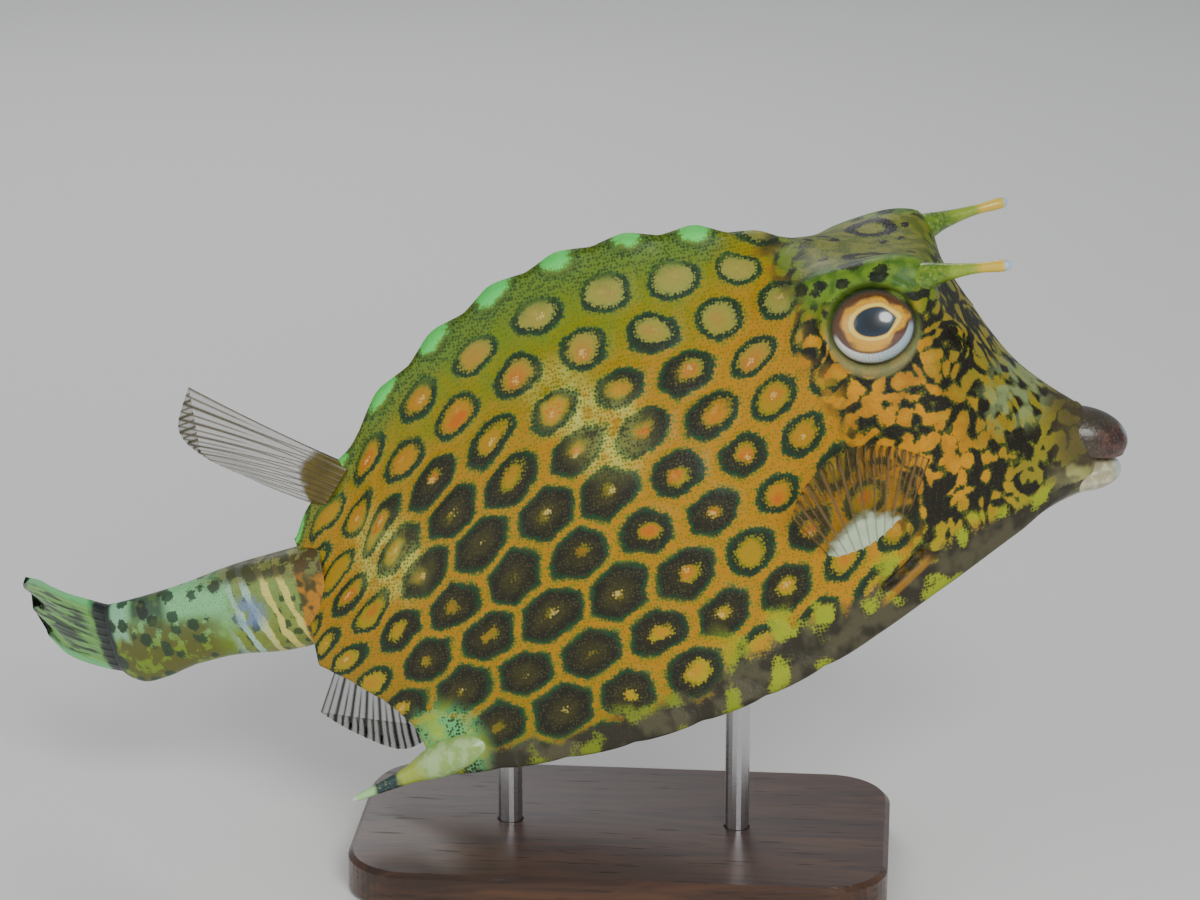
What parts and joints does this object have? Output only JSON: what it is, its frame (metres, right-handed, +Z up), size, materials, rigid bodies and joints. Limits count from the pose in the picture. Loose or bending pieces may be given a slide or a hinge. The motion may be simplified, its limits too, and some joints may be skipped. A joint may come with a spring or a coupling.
{
  "type": "honeycomb cowfish display model",
  "caption": "Boxy reef fish with a plated carapace, brow horns, rear spines, upswept snout and curled tail, on a flat base with two rods.",
  "frame": {"origin": "middle of the model's bounding box, at the underside of the stand's base", "axes": "+X towards the head, which is raised 13 degrees; +Y towards the fish's left flank; +Z up"},
  "size_m": [0.282, 0.0938, 0.1646],
  "materials": {
    "carapace": "satin skin over bony plates, orange-ochre mesh round dark brown cells",
    "head": "satin skin, orange blotches in a dark brown maze",
    "tail": "satin skin, pale green with dark green spots",
    "lip": "soft satin skin, brown-maroon above and pale below",
    "horn": "yellow-green horn with a pale tip",
    "fin": "thin clouded membrane over fine rays",
    "eye": "clear polished cornea over a golden iris and blue-black pupil",
    "stand_wood": "dark stained hardwood, satin lacquer",
    "stand_steel": "brushed stainless steel"
  },
  "bodies": {
    "root": {"carapace": "carapace", "head": "head", "lip_upper": "lip", "lip_lower": "lip", "eye_right": "eye", "eye_left": "eye", "horn_right": "horn", "horn_left": "horn", "rear_spine_right": "horn", "rear_spine_left": "horn", "pectoral_fin_right": "fin", "pectoral_fin_left": "fin", "dorsal_fin": "fin", "anal_fin": "fin", "tail_stalk": "tail", "tail_fin": "fin", "stand_base": "stand_wood", "stand_rod_front": "stand_steel", "stand_rod_rear": "stand_steel"}
  },
  "joints": []
}
